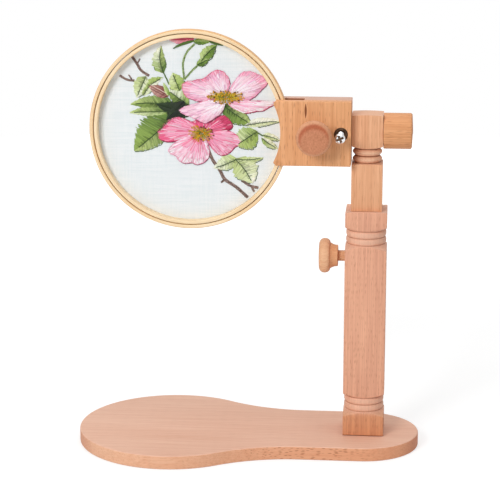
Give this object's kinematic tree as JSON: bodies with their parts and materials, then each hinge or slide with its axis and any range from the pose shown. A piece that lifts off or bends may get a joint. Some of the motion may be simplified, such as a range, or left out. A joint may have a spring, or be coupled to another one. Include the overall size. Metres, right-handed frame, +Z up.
{
  "type": "embroidery hoop on stand",
  "caption": "Round embroidery hoop gripped by a tilting two-jaw wooden clamp on a sliding, swivelling turned post that stands on a pear-shaped board.",
  "frame": {"origin": "centre of the board's footprint, on the surface that it stands on", "axes": "+Z up, +X along the board towards the post, +Y away from the user, behind the embroidery"},
  "size_m": [0.33, 0.1828, 0.4021],
  "materials": {
    "beech": "sanded beech with short dark flecks, unvarnished",
    "beech_board": "sanded beech board with a faint lengthwise grain",
    "pale_wood": "smooth pale bent wood",
    "zinc_steel": "bright zinc plate",
    "brass": "plain turned brass",
    "cotton": "plain-weave cotton stretched flat"
  },
  "bodies": {
    "stand": {"base_board": "beech_board", "lower_post": "beech", "post_dowel": "beech", "post_insert": "brass", "base_bolt": "zinc_steel", "base_washer": "zinc_steel"},
    "height_screw": {"height_screw": "beech"},
    "height_knob": {"height_knob": "beech"},
    "rod": {"height_rod": "beech"},
    "head": {"head_post": "beech"},
    "clamp": {"rear_jaw": "beech", "jaw_bolt": "zinc_steel", "jaw_insert": "brass", "tilt_insert": "brass"},
    "tilt_stud": {"tilt_stud": "zinc_steel"},
    "tilt_knob": {"tilt_knob": "beech"},
    "jaw_screw": {"jaw_screw": "beech"},
    "jaw_knob": {"jaw_knob": "beech"},
    "front_jaw": {"front_jaw": "beech", "jaw_washer": "zinc_steel"},
    "hoop": {"outer_ring": "pale_wood", "inner_ring": "pale_wood", "fabric": "cotton", "upper_bracket": "brass", "lower_bracket": "brass", "upper_rivet": "brass", "lower_rivet": "brass", "hoop_nut": "brass"},
    "hoop_screw": {"hoop_screw": "brass"}
  },
  "joints": [
    {"name": "height_slide", "type": "slide", "parent": "stand", "child": "rod", "axis": [0, 0, 1], "range_m": [0, 0.11]},
    {"name": "head_swivel", "type": "hinge", "parent": "rod", "child": "head", "pos_m": [0.112, 0, 0.2337], "axis": [0, 0, 1], "continuous": true},
    {"name": "clamp_tilt", "type": "hinge", "parent": "head", "child": "clamp", "pos_m": [0.0975, 0, 0.3081], "axis": [1, 0, 0], "continuous": true},
    {"name": "height_screw_travel", "type": "slide", "parent": "stand", "child": "height_screw", "axis": [-1, 0, 0], "range_m": [0, 0.006]},
    {"name": "height_knob_turn", "type": "hinge", "parent": "height_screw", "child": "height_knob", "pos_m": [0.0765, 0, 0.1872], "axis": [-1, 0, 0], "range_deg": [0, 720]},
    {"name": "tilt_stud_travel", "type": "slide", "parent": "clamp", "child": "tilt_stud", "axis": [1, 0, 0], "range_m": [0, 0.002]},
    {"name": "tilt_knob_turn", "type": "hinge", "parent": "tilt_stud", "child": "tilt_knob", "pos_m": [0.14, 0, 0.3081], "axis": [1, 0, 0], "range_deg": [0, 720]},
    {"name": "jaw_screw_travel", "type": "slide", "parent": "clamp", "child": "jaw_screw", "axis": [0, -1, 0], "range_m": [0, 0.012]},
    {"name": "jaw_knob_turn", "type": "hinge", "parent": "jaw_screw", "child": "jaw_knob", "pos_m": [0.064, -0.045, 0.3081], "axis": [0, -1, 0], "range_deg": [0, 1440]},
    {"name": "jaw_open", "type": "slide", "parent": "clamp", "child": "front_jaw", "axis": [0, -1, 0], "range_m": [0, 0.012]},
    {"name": "hoop_pull", "type": "slide", "parent": "clamp", "child": "hoop", "axis": [-1, 0, 0], "range_m": [0, 0.045]},
    {"name": "hoop_screw_turn", "type": "hinge", "parent": "hoop", "child": "hoop_screw", "pos_m": [0.0464, -0.0094, 0.3081], "axis": [0, 0, 1], "range_deg": [0, 720]}
  ],
  "couplings": [
    {"joint": "height_screw_travel", "follows": "height_knob_turn", "m_per_rad": 0.00047746},
    {"joint": "tilt_knob_turn", "follows": "tilt_stud_travel", "rad_per_m": 6283.2},
    {"joint": "jaw_screw_travel", "follows": "jaw_knob_turn", "m_per_rad": 0.00047746},
    {"joint": "jaw_open", "follows": "jaw_knob_turn", "m_per_rad": 0.00047746}
  ]
}
